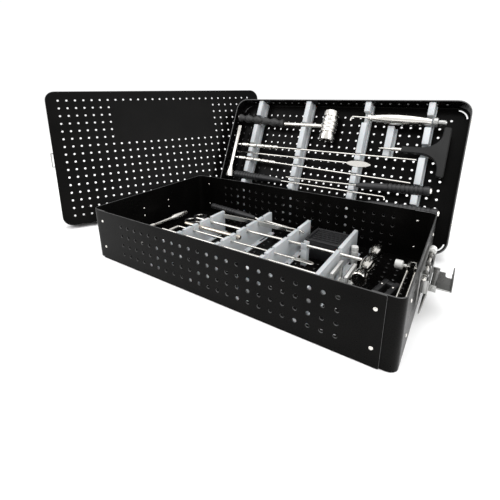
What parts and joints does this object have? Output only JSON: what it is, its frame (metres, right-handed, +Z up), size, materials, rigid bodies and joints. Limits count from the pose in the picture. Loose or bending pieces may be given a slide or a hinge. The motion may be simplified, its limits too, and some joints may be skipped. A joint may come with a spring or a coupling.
{
  "type": "instrument tray",
  "caption": "Perforated instrument tray set: base tray with end latches, leaning insert tray and lid, rails and laid-in surgical instruments.",
  "frame": {"origin": "on the base tray's underside, below the middle of its punched holes", "axes": "+X along the base tray's long side, +Y to its rear, towards the insert tray, +Z up"},
  "size_m": [0.7224, 0.4651, 0.2579],
  "materials": {
    "black_anodised": "black anodised sheet with a fine satin grain",
    "blue_grey_silicone": "pale blue-grey silicone, satin",
    "polished_steel": "polished stainless steel",
    "satin_steel": "satin stainless sheet",
    "black_polymer": "matt black moulded polymer"
  },
  "bodies": {
    "base_tray": {"base_floor": "black_anodised", "front_panel": "black_anodised", "rear_panel": "black_anodised", "right_end_wrap": "black_anodised", "left_end_wrap": "black_anodised", "base_rail_a": "blue_grey_silicone", "base_rail_b": "blue_grey_silicone", "base_rail_c": "blue_grey_silicone", "base_rail_d": "blue_grey_silicone", "storage_box": "black_polymer", "clamp_bracket": "satin_steel", "right_latch_plate": "satin_steel", "right_latch_pin": "polished_steel", "right_latch_spring": "satin_steel", "left_latch_plate": "satin_steel", "left_latch_pin": "polished_steel", "left_latch_spring": "satin_steel"},
    "right_lever": {"right_latch_lever": "satin_steel"},
    "right_hook": {"right_hook_plate": "satin_steel"},
    "left_lever": {"left_latch_lever": "satin_steel"},
    "left_hook": {"left_hook_plate": "satin_steel"},
    "lid": {"lid_shell": "black_anodised", "right_lid_strap": "satin_steel", "left_lid_strap": "satin_steel"},
    "insert_tray": {"insert_shell": "black_anodised", "insert_rail_a": "blue_grey_silicone", "insert_rail_b": "blue_grey_silicone", "insert_rail_c": "blue_grey_silicone", "insert_rail_d": "blue_grey_silicone", "insert_short_rail": "blue_grey_silicone"},
    "slap_hammer": {"hammer_rod": "polished_steel", "hammer_weight": "polished_steel"},
    "blade_probe": {"blade_rod": "polished_steel"},
    "guide": {"guide_rod": "polished_steel"},
    "sheath": {"sheath_tube": "polished_steel"},
    "flat_blade": {"flat_retractor": "polished_steel"},
    "long_dissector": {"long_dissector_grip": "black_polymer", "long_dissector_rod": "polished_steel"},
    "trocar_body": {"trocar": "polished_steel"},
    "clamp": {"black_clamp": "black_polymer"},
    "ratchet": {"ratchet_tool": "polished_steel"},
    "mallet": {"mallet_grip": "black_polymer", "mallet_shaft": "polished_steel", "mallet_head": "polished_steel"},
    "retractor": {"retractor_grip": "polished_steel", "retractor_hook": "polished_steel"},
    "t_handle_driver": {"t_handle": "black_polymer", "t_handle_shaft": "polished_steel"},
    "probe_1": {"probe_a": "polished_steel"},
    "probe_2": {"probe_b": "polished_steel"},
    "probe_3": {"probe_c": "polished_steel"},
    "dissector_1": {"dissector_a_grip": "black_polymer", "dissector_a_rod": "polished_steel"},
    "dissector_2": {"dissector_b_grip": "black_polymer", "dissector_b_rod": "polished_steel"},
    "dissector_3": {"dissector_c_grip": "black_polymer", "dissector_c_rod": "polished_steel"},
    "lever_bar": {"bent_lever": "polished_steel"},
    "ratchet_screw": {"ratchet_knob": "satin_steel"},
    "retractor_nut": {"retractor_screw": "satin_steel"}
  },
  "joints": [
    {"name": "lid_lift", "type": "slide", "parent": "base_tray", "child": "lid", "axis": [-0.2503, 0.151, 0.9563], "range_m": [0, 0.2]},
    {"name": "insert_lift", "type": "slide", "parent": "base_tray", "child": "insert_tray", "axis": [0, 0.4258, 0.9048], "range_m": [0, 0.2]},
    {"name": "right_lever_hinge", "type": "hinge", "parent": "base_tray", "child": "right_lever", "pos_m": [0.22925, 0, 0.058], "axis": [0, -1, 0], "range_deg": [0, 90]},
    {"name": "right_hook_hinge", "type": "hinge", "parent": "right_lever", "child": "right_hook", "pos_m": [0.23805, 0, 0.0418], "axis": [0, -1, 0], "range_deg": [0, 45]},
    {"name": "left_lever_hinge", "type": "hinge", "parent": "base_tray", "child": "left_lever", "pos_m": [-0.23885, 0, 0.058], "axis": [0, 1, 0], "range_deg": [0, 90]},
    {"name": "left_hook_hinge", "type": "hinge", "parent": "left_lever", "child": "left_hook", "pos_m": [-0.24765, 0, 0.0418], "axis": [0, 1, 0], "range_deg": [0, 45]},
    {"name": "slap_hammer_lift", "type": "slide", "parent": "base_tray", "child": "slap_hammer", "axis": [0, 0, 1], "range_m": [0, 0.12]},
    {"name": "blade_probe_lift", "type": "slide", "parent": "base_tray", "child": "blade_probe", "axis": [0, 0, 1], "range_m": [0, 0.12]},
    {"name": "guide_lift", "type": "slide", "parent": "base_tray", "child": "guide", "axis": [0, 0, 1], "range_m": [0, 0.12]},
    {"name": "sheath_lift", "type": "slide", "parent": "base_tray", "child": "sheath", "axis": [0, 0, 1], "range_m": [0, 0.12]},
    {"name": "flat_blade_lift", "type": "slide", "parent": "base_tray", "child": "flat_blade", "axis": [0, 0, 1], "range_m": [0, 0.12]},
    {"name": "long_dissector_lift", "type": "slide", "parent": "base_tray", "child": "long_dissector", "axis": [0, 0, 1], "range_m": [0, 0.12]},
    {"name": "trocar_body_lift", "type": "slide", "parent": "base_tray", "child": "trocar_body", "axis": [0, 0, 1], "range_m": [0, 0.12]},
    {"name": "clamp_lift", "type": "slide", "parent": "base_tray", "child": "clamp", "axis": [0, 0, 1], "range_m": [0, 0.12]},
    {"name": "ratchet_lift", "type": "slide", "parent": "base_tray", "child": "ratchet", "axis": [0, 0, 1], "range_m": [0, 0.12]},
    {"name": "mallet_lift", "type": "slide", "parent": "insert_tray", "child": "mallet", "axis": [0, -0.9048, 0.4258], "range_m": [0, 0.08]},
    {"name": "retractor_lift", "type": "slide", "parent": "insert_tray", "child": "retractor", "axis": [0, -0.9048, 0.4258], "range_m": [0, 0.08]},
    {"name": "t_handle_driver_lift", "type": "slide", "parent": "insert_tray", "child": "t_handle_driver", "axis": [0, -0.9048, 0.4258], "range_m": [0, 0.08]},
    {"name": "probe_1_lift", "type": "slide", "parent": "insert_tray", "child": "probe_1", "axis": [0, -0.9048, 0.4258], "range_m": [0, 0.08]},
    {"name": "probe_2_lift", "type": "slide", "parent": "insert_tray", "child": "probe_2", "axis": [0, -0.9048, 0.4258], "range_m": [0, 0.08]},
    {"name": "probe_3_lift", "type": "slide", "parent": "insert_tray", "child": "probe_3", "axis": [0, -0.9048, 0.4258], "range_m": [0, 0.08]},
    {"name": "dissector_1_lift", "type": "slide", "parent": "insert_tray", "child": "dissector_1", "axis": [0, -0.9048, 0.4258], "range_m": [0, 0.08]},
    {"name": "dissector_2_lift", "type": "slide", "parent": "insert_tray", "child": "dissector_2", "axis": [0, -0.9048, 0.4258], "range_m": [0, 0.08]},
    {"name": "dissector_3_lift", "type": "slide", "parent": "insert_tray", "child": "dissector_3", "axis": [0, -0.9048, 0.4258], "range_m": [0, 0.03]},
    {"name": "lever_bar_lift", "type": "slide", "parent": "insert_tray", "child": "lever_bar", "axis": [0, -0.9048, 0.4258], "range_m": [0, 0.08]},
    {"name": "ratchet_screw_turn", "type": "hinge", "parent": "ratchet", "child": "ratchet_screw", "pos_m": [0.1945, 0.041, 0.029], "axis": [1, 0, 0], "continuous": true},
    {"name": "retractor_nut_turn", "type": "hinge", "parent": "retractor", "child": "retractor_nut", "pos_m": [0.1916, 0.23003, 0.20292], "axis": [0.9993, -0.0164, -0.0349], "continuous": true}
  ]
}
